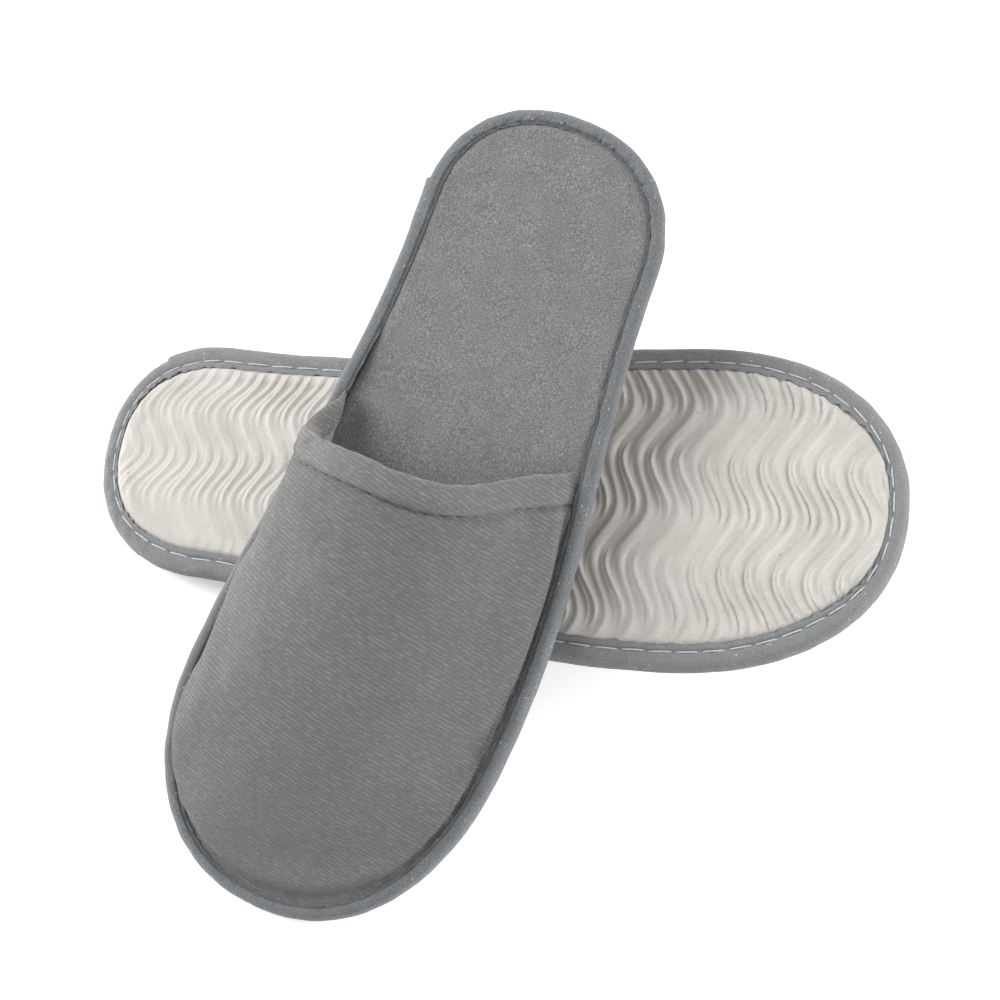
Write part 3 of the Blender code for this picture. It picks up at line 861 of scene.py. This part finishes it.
def build_hem(slipper, finish):
    seed = slipper["seed"]
    across = np.linspace(0, 1, HEM_LINES)[:, None]
    lengths = np.maximum(line_lengths(slipper, across[:, 0]), SHORTEST_LINE)[:, None]
    edge = edge_lengths(slipper, across)

    # From the seam to the fold, on the outside.
    back = np.linspace(HEM_SEAM - 0.1, 0.3, HEM_TOP)[None, :]
    tight = 0.06 + 0.26 * smooth((0.25 - across) / 0.12)
    bend = 1.4 * waves(seed + 30, (edge, back * 0.6), 9, 30)
    ruck = tight * np.cos(TURN * (edge + bend) / 4.6)
    ruck = ruck * (0.35 + 0.65 * smooth((back - 1) / 7))
    puff = 0.65 * np.sin(math.pi * np.clip(back / HEM_SEAM, 0, 1)) ** 0.7
    wave = 0.16 * waves(seed + 31, (edge, back), 16, 50)
    wall = arch_wall(across)
    sunk = (0.95 + 0.1 * wall) * smooth((back - 7.4 + 2 * wall) / (1.7 + 2 * wall))
    top_depth = -(GAP + HEM_CLOTH) + sunk - (puff + ruck + wave) * smooth(back / 2.5)

    # Round the fold.
    swing = np.radians(np.linspace(90, -90, HEM_ROUND + 2))[None, 1:-1]
    middle = UPPER_DEPTH / 2
    round_back = 0.3 - (1.9 + 0.12 * waves(seed + 32, (edge,), 8, 30)) * np.cos(swing)
    round_depth = middle - (middle + GAP + HEM_CLOTH) * np.sin(swing)

    # Back along the lining, shorter towards both wings.
    ends = smooth(np.minimum(edge, edge[-1] - edge) / 16)
    limb = np.linspace(0, 1, HEM_LOW)[None, :]
    low_back = 0.3 + (HEM_WIDTH - 0.3) * limb * (0.15 + 0.85 * ends)
    dip = 0.35 * np.sin(math.pi * limb) - 1.4 * smooth((limb - 0.6) / 0.4)
    inner_ruck = 0.5 * tight * np.cos(TURN * (edge + 2) / 4.6) * smooth(low_back / 4)
    low_depth = UPPER_DEPTH + GAP + HEM_CLOTH + dip + inner_ruck

    backs = [np.broadcast_to(back, top_depth.shape), round_back, low_back]
    depths = [top_depth, np.broadcast_to(round_depth, round_back.shape), low_depth]
    backs, depths = np.concatenate(backs, 1), np.concatenate(depths, 1)
    outer = hem_face(slipper, across, backs, depths, lengths)
    if slipper["on_floor"]:
        outer = keep_off_floor(slipper, outer, 0.3)
    inner = outer - outward_normals(outer, 10) * HEM_CLOTH
    rings = np.concatenate([outer, inner[:, ::-1]], 1)
    faces = ring_faces(HEM_LINES, rings.shape[1], False)
    grain = cloth_grain(rings) + np.array([40, 0.6, 0])
    piece = make_piece(slipper, "hem", rings, faces, grain, sharp=60)
    register(slipper, piece, finish, "hem_twill", "opening_hem")


# ---- sewing

def stitches(slipper, name, starts, ends, lift, radius, finish, slot, node):
    """Separate stitches, each a short rounded thread that bows up between its two holes."""
    steps = np.linspace(0, 1, STITCH_RINGS)
    rolls = np.linspace(0, TURN, STITCH_SIDES + 1)[:-1]
    along = ends - starts
    size = np.linalg.norm(along, axis=1, keepdims=True)
    forward = along / size
    sideways = np.cross(forward, lift)
    sideways /= np.linalg.norm(sideways, axis=1, keepdims=True)
    upward = np.cross(sideways, forward)
    bow = 0.9 * radius * np.sin(math.pi * steps) ** 0.6
    girth = radius * np.clip(np.sin(math.pi * (steps * 0.94 + 0.03)) * 3.2, 0.25, 1)
    centres = starts[:, None] + along[:, None] * steps[None, :, None]
    centres = centres + upward[:, None] * (bow - radius * 0.6)[None, :, None]
    round_up = np.cos(rolls)[None, None, :, None] * upward[:, None, None]
    round_side = np.sin(rolls)[None, None, :, None] * sideways[:, None, None]
    points = centres[:, :, None] + (round_up + round_side) * girth[None, :, None, None]
    faces = ring_faces(STITCH_RINGS, STITCH_SIDES, False)
    places = STITCH_RINGS * STITCH_SIDES
    every = np.concatenate([faces + places * index for index in range(len(starts))])
    piece = make_piece(slipper, name, points, every)
    register(slipper, piece, finish, slot, node)


def sewn_line(count, gap, inset, height):
    """Starts and ends of stitches round the sole, at the inset and height for each turn."""
    step = 1 / count
    begin = np.arange(count) * step
    share = gap / (PERIMETER * step)
    marks = []
    for offset in (share / 2, 1 - share / 2):
        turn = np.interp((begin + offset * step) * PERIMETER, SWEEP_LENGTH, SWEEP_TURN)
        marks.append(np.stack([*rim(turn, inset(turn)), height(turn)], -1))
    return marks


def build_sewing(slipper, dark, pale):
    count = int(round(PERIMETER / STITCH_PITCH))
    up = np.array([0.0, 0.0, 1.0])
    starts, ends = sewn_line(
        count, NEEDLE_GAP,
        lambda turn: NEEDLE_LINE + 0.12 * ring_waves(3, turn, 60, 200),
        lambda turn: tape_top(turn) - NEEDLE_GROOVE - 0.02,
    )
    stitches(slipper, "needle_stitches", starts, ends, up, NEEDLE_RADIUS, dark,
             "needle_thread", "needle_thread")
    starts, ends = sewn_line(
        count, BOBBIN_GAP,
        lambda turn: under_line(turn) + 0.16 * ring_waves(6, turn, 80, 300),
        lambda turn: TAPE_UNDERSIDE + 0.24 + 0 * turn,
    )
    stitches(slipper, "bobbin_stitches", starts, ends, -up, THREAD_RADIUS, pale,
             "bobbin_thread", "bobbin_thread")
    fine = np.linspace(0, 1, 1500)
    lengths = np.maximum(line_lengths(slipper, fine), SHORTEST_LINE)
    length = edge_lengths(slipper, fine)
    places = hem_face(slipper, fine, HEM_SEAM + 0.25, 0.05, lengths)
    if slipper["on_floor"]:
        places = keep_off_floor(slipper, places, 0.6)
    begin = np.arange(4, length[-1] - 8, HEM_STITCH_PITCH)
    starts, ends = (
        np.stack([np.interp(begin + on, length, places[:, axis]) for axis in range(3)], -1)
        for on in (0.0, HEM_STITCH)
    )
    stitches(slipper, "hem_stitches", starts, ends, up, THREAD_RADIUS, dark,
             "needle_thread", "hem_thread")


# ---- finishes

def add(tree, kind, sockets=None, **settings):
    """A shader node with its settings, its values and its links."""
    made = tree.nodes.new("ShaderNode" + kind)
    for key, value in settings.items():
        setattr(made, key, value)
    for key, value in (sockets or {}).items():
        if isinstance(value, bpy.types.NodeSocket):
            tree.links.new(value, made.inputs[key])
        else:
            made.inputs[key].default_value = value
    return made


def settle(shader, values):
    """Sets a shader's own sockets."""
    for key, value in values.items():
        shader.inputs[key].default_value = value


def linear(red, green, blue):
    """Linear colour of a colour as a screen shows it, 0 to 255."""
    shown = np.array([red, green, blue]) / 255
    value = np.where(shown <= 0.04045, shown / 12.92, ((shown + 0.055) / 1.055) ** 2.4)
    return (*value.tolist(), 1.0)


def noise(tree, grain, scale, stretch=(1, 1, 1), detail=2.0, roughness=0.5):
    mapped = add(tree, "Mapping", {"Vector": grain, "Scale": stretch})
    made = add(tree, "TexNoise", {"Vector": mapped.outputs["Vector"], "Scale": scale,
                                  "Detail": detail, "Roughness": roughness})
    return made.outputs["Fac"]


def maths(tree, operation, first, second=0.0):
    return add(tree, "Math", {0: first, 1: second}, operation=operation).outputs[0]


def mixed(tree, share, first, second):
    return add(tree, "Mix", {0: share, 6: first, 7: second}, data_type="RGBA").outputs[2]


def ramp(tree, value, low, high):
    made = add(tree, "MapRange", {"Value": value, "From Min": low, "From Max": high},
               interpolation_type="SMOOTHSTEP")
    return made.outputs["Result"]


def toned(tree, level, tones, low_range, high_range):
    """Three tones by level: dark to middle over one range, then on to light over another."""
    dark, middle, light = tones
    shade = mixed(tree, ramp(tree, level, *low_range), dark, middle)
    return mixed(tree, ramp(tree, level, *high_range), shade, light)


def clouded(tree, shade, cloud, lightest):
    """A colour that slowly turns darker and lighter."""
    value = add(tree, "MapRange", {"Value": cloud, "From Min": 0.3, "From Max": 0.7,
                                   "To Min": 0.93, "To Max": lightest}).outputs["Result"]
    return add(tree, "HueSaturation", {"Color": shade, "Value": value}).outputs["Color"]


def flecked(tree, grain, shade, colour, strength, scale, size, rarity):
    """A colour with flecks in the few cells that a slow noise picks."""
    cells = add(tree, "TexVoronoi", {"Vector": grain, "Scale": scale}).outputs["Distance"]
    rare_scale, rare_top = rarity
    rare = noise(tree, grain, rare_scale, detail=0)
    spot = maths(tree, "MULTIPLY", ramp(tree, cells, *size), ramp(tree, rare, 0.5, rare_top))
    return mixed(tree, maths(tree, "MULTIPLY", spot, strength), shade, colour)


def begin_finish(name, roughness, sheen=0.0):
    finish = bpy.data.materials.new(name)
    finish.use_nodes = True
    tree = finish.node_tree
    shader = tree.nodes["Principled BSDF"]
    settle(shader, {"Roughness": roughness, "Specular IOR Level": 0.25,
                    "Sheen Weight": sheen, "Sheen Roughness": 0.6})
    grain = add(tree, "Attribute", attribute_name="grain").outputs["Vector"]
    return finish, tree, shader, grain


def end_finish(tree, shader, colour, height, distance):
    raised = add(tree, "Bump", {"Height": height, "Distance": distance * MM})
    tree.links.new(colour, shader.inputs["Base Color"])
    tree.links.new(raised.outputs["Normal"], shader.inputs["Normal"])


def twill(name, tones, pitch, depth):
    """Brushed twill: broken ribs across the cloth, with fuzz and slow changes of shade."""
    finish, tree, shader, grain = begin_finish(name, 0.95, 0.25)
    wander = noise(tree, grain, 0.09, detail=1)
    slub = noise(tree, grain, 1.0, (0.16, 0.9, 0.16), detail=2, roughness=0.6)
    fuzz = noise(tree, grain, 3.2, (0.7, 1.2, 0.7), detail=3, roughness=0.7)
    cloud = noise(tree, grain, 0.035, detail=2)
    lean = add(tree, "Mapping", {"Vector": grain, "Rotation": (0, 0, math.radians(-12))})
    split = add(tree, "SeparateXYZ", {"Vector": lean.outputs["Vector"]})
    run = maths(tree, "ADD", split.outputs["Y"], maths(tree, "MULTIPLY", slub, 0.9))
    run = maths(tree, "ADD", run, maths(tree, "MULTIPLY", wander, 1.5))
    rib = maths(tree, "SINE", maths(tree, "MULTIPLY", run, TURN / pitch))
    rib = add(tree, "Math", {0: rib, 1: 0.5, 2: 0.5}, operation="MULTIPLY_ADD").outputs[0]
    fleck = noise(tree, grain, 1.0, (0.35, 1.6, 0.35), detail=1, roughness=0.5)
    broken = maths(tree, "MULTIPLY", ramp(tree, fleck, 0.4, 0.62), 0.75)
    level = maths(tree, "MULTIPLY", rib, maths(tree, "ADD", broken, 0.12))
    nap = maths(tree, "MULTIPLY", maths(tree, "SUBTRACT", fuzz, 0.5), 2.9)
    level = maths(tree, "ADD", level, nap)
    shade = toned(tree, level, tones, (-0.25, 0.5), (0.42, 1.3))
    end_finish(tree, shader, clouded(tree, shade, cloud, 1.06), level, depth)
    return finish


def felted(name, tones, grain_size, depth, stretch=(1, 1, 1), specks=0.0, seam_shadow=0.0):
    """A napped or looped cloth with no ribs: fine clumps, a slow mottle and, if wanted, lint,
    painted shade along the seam lines and a paler underside, as on the tape."""
    finish, tree, shader, grain = begin_finish(name, 0.96, 0.2)
    loops = noise(tree, grain, 1 / grain_size, stretch, detail=2.5, roughness=0.6)
    fine = noise(tree, grain, 2.7 / grain_size, stretch, detail=2, roughness=0.6)
    slow = noise(tree, grain, 0.11, detail=3)
    level = maths(tree, "ADD", maths(tree, "MULTIPLY", loops, 0.65),
                  maths(tree, "MULTIPLY", fine, 0.35))
    shade = toned(tree, level, tones, (0.36, 0.53), (0.5, 0.68))
    shade = clouded(tree, shade, slow, 1.07)
    if specks:
        shade = flecked(tree, grain, shade, LINT, specks, 0.33, (0.16, 0.08), (0.21, 0.56))
    # Painted shade: darker along both stitch lines, standing in for the shadow in the sewn
    # grooves. Then a paler underside.
    if seam_shadow:
        section = add(tree, "SeparateXYZ", {"Vector": grain}).outputs["Z"]
        top = maths(tree, "ABSOLUTE", section)
        low = maths(tree, "ABSOLUTE", maths(tree, "SUBTRACT", section, UNDER_SEAM + 0.4))
        away = maths(tree, "MINIMUM", maths(tree, "SUBTRACT", top, 0.2), low)
        share = maths(tree, "MULTIPLY", ramp(tree, away, 0.75, 0.1), seam_shadow)
        shade = mixed(tree, share, shade, PAINTED_SEAM_SHADOW)
        below = maths(tree, "MULTIPLY", ramp(tree, section, 9.0, 16.0), 0.2)
        shade = mixed(tree, below, shade, UNDER_SHADE)
    end_finish(tree, shader, shade, level, depth)
    return finish


def foam(name, dark, light):
    """Moulded foam: a fine matt grain, faint clouds and a few dark flecks of dirt."""
    finish, tree, shader, grain = begin_finish(name, 0.78)
    pores = noise(tree, grain, 1.6, detail=3, roughness=0.6)
    clouds = noise(tree, grain, 0.05, detail=3)
    share = maths(tree, "ADD", maths(tree, "MULTIPLY", pores, 0.55),
                  maths(tree, "MULTIPLY", clouds, 0.45))
    shade = mixed(tree, ramp(tree, share, 0.34, 0.66), dark, light)
    shade = flecked(tree, grain, shade, DIRT, 0.6, 0.09, (0.045, 0.02), (0.05, 0.55))
    end_finish(tree, shader, shade, pores, 0.12)
    return finish


def thread_finish(name, dark, light):
    finish, tree, shader, grain = begin_finish(name, 0.7, 0.3)
    strands = noise(tree, grain, 3.0, detail=2)
    shade = mixed(tree, ramp(tree, strands, 0.35, 0.65), dark, light)
    end_finish(tree, shader, shade, strands, 0.15)
    return finish


LINT = linear(196, 198, 200)
# Painted shade laid along the tape's stitch lines.
PAINTED_SEAM_SHADOW = linear(58, 61, 65)
UNDER_SHADE = linear(168, 168, 167)
DIRT = linear(112, 104, 96)
PILE_TONES = (linear(84, 83, 82), linear(115, 114, 113), linear(158, 157, 155))
TAPE_TONES = (linear(78, 81, 84), linear(102, 105, 108), linear(136, 139, 142))
VAMP_TONES = (linear(103, 103, 102), linear(131, 131, 129), linear(159, 158, 155))
HEM_TONES = (linear(102, 102, 101), linear(127, 127, 125), linear(151, 150, 148))
LINING_TONES = (linear(104, 104, 104), linear(128, 128, 128), linear(150, 150, 150))

FINISHES = {
    "foam": foam("outsole_foam_look", linear(174, 170, 164), linear(189, 185, 180)),
    "pile": felted("footbed_pile_look", PILE_TONES, 0.45, 0.42, (1.2, 0.8, 1)),
    # The tape carries painted shade along its stitch lines.
    "tape": felted("binding_tape_look", TAPE_TONES, 0.5, 0.3, specks=0.6, seam_shadow=0.5),
    "vamp": twill("vamp_twill_look", VAMP_TONES, 1.4, 0.5),
    "hem": twill("hem_twill_look", HEM_TONES, 1.4, 0.3),
    "lining": felted("lining_look", LINING_TONES, 0.8, 0.2),
    "dark": thread_finish("dark_thread_look", linear(50, 54, 58), linear(84, 88, 92)),
    "pale": thread_finish("pale_thread_look", linear(160, 164, 167), linear(200, 203, 206)),
}


def build_slipper(slipper):
    build_outsole(slipper, FINISHES["foam"])
    build_footbed(slipper, FINISHES["pile"])
    build_binding(slipper, FINISHES["tape"])
    build_vamp(slipper, FINISHES["vamp"])
    build_lining(slipper, FINISHES["lining"])
    build_hem(slipper, FINISHES["hem"])
    build_sewing(slipper, FINISHES["dark"], FINISHES["pale"])


build_slipper(UNDER)
build_slipper(OVER)


# ---- studio

def build_floor():
    half = FLOOR_HALF
    corners = [(-half, -half, 0), (half, -half, 0), (half, half, 0), (-half, half, 0)]
    mesh = bpy.data.meshes.new("studio_floor")
    mesh.from_pydata(corners, [], [(0, 1, 2, 3)])
    floor = new_object("studio_floor", mesh)
    floor.location.z = -FLOOR_DROP
    finish = bpy.data.materials.new("studio_floor_look")
    finish.use_nodes = True
    shader = finish.node_tree.nodes["Principled BSDF"]
    settle(shader, {"Base Color": (0.93, 0.93, 0.93, 1), "Roughness": 0.9,
                    "Specular IOR Level": 0.1, "Emission Color": (1, 1, 1, 1),
                    "Emission Strength": 0.34})
    mesh.materials.append(finish)


def aim(thing, target):
    """Turns a light or the camera to a target."""
    way = thing.location - Vector(target)
    thing.rotation_euler = way.to_track_quat("Z", "Y").to_euler()


def soft_light(name, place, size, power):
    light = bpy.data.lights.new(name, "AREA")
    light.shape = "DISK"
    light.size = size
    light.energy = power
    lamp = new_object(name, light)
    lamp.location = place
    aim(lamp, LIT_AT)


def build_studio():
    world = bpy.data.worlds.new("studio")
    world.use_nodes = True
    sky = world.node_tree.nodes["Background"]
    settle(sky, {"Color": (1, 1, 1, 1), "Strength": SKY})
    bpy.context.scene.world = world
    bpy.context.scene.view_settings.view_transform = "Standard"
    for light in LIGHTS:
        soft_light(*light)
    camera = bpy.data.cameras.new("camera")
    camera.lens = LENS
    camera.sensor_width = SENSOR
    eye = new_object("camera", camera)
    eye.location = EYE
    aim(eye, LOOK_AT)
    bpy.context.scene.camera = eye


build_floor()
build_studio()

bpy.context.view_layer.update()
